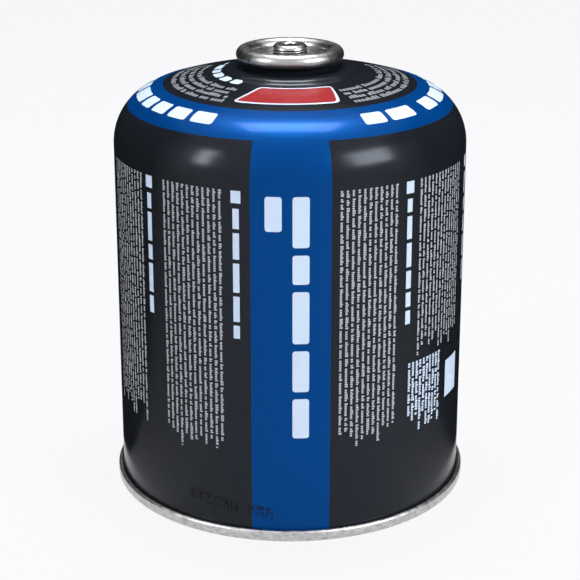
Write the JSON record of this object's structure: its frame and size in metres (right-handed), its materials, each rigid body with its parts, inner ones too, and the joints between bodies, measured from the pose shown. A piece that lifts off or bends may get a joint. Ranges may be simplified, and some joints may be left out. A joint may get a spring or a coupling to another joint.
{
  "type": "fuel canister",
  "caption": "Self-sealing gas canister for camping stoves: a lacquered steel vessel with a domed base in a double seam and a threaded valve boss with a sprung stem.",
  "frame": {"origin": "the middle of the flat ring under the base seam that the canister stands on", "axes": "+Z is the canister's own axis, up through the valve; -Y faces the front, where the blue stripe runs down"},
  "size_m": [0.1112, 0.1112, 0.1385],
  "materials": {
    "black_lacquer": "gloss black lacquer on steel with a blue shoulder band and a blue stripe",
    "tinplate": "bare drawn tinplate with light scuffs",
    "cup_steel": "bright pressed tinplate",
    "rubber": "plain black sealing rubber",
    "stem_metal": "nickel-plated turned brass",
    "spring_wire": "drawn spring steel wire",
    "nylon": "natural moulded nylon"
  },
  "bodies": {
    "can": {"can_body": "black_lacquer", "base_end": "tinplate", "valve_cup": "cup_steel", "cup_gasket": "rubber", "stem_seal": "rubber", "valve_spring": "spring_wire", "valve_housing": "nylon"},
    "stem": {"valve_stem": "stem_metal"}
  },
  "joints": [
    {"name": "stem_press", "type": "slide", "parent": "can", "child": "stem", "axis": [0, 0, -1], "range_m": [0, 0.0015], "stiffness_N_per_m": 2000, "springref_m": -0.002, "deforming": ["valve_spring"]}
  ]
}
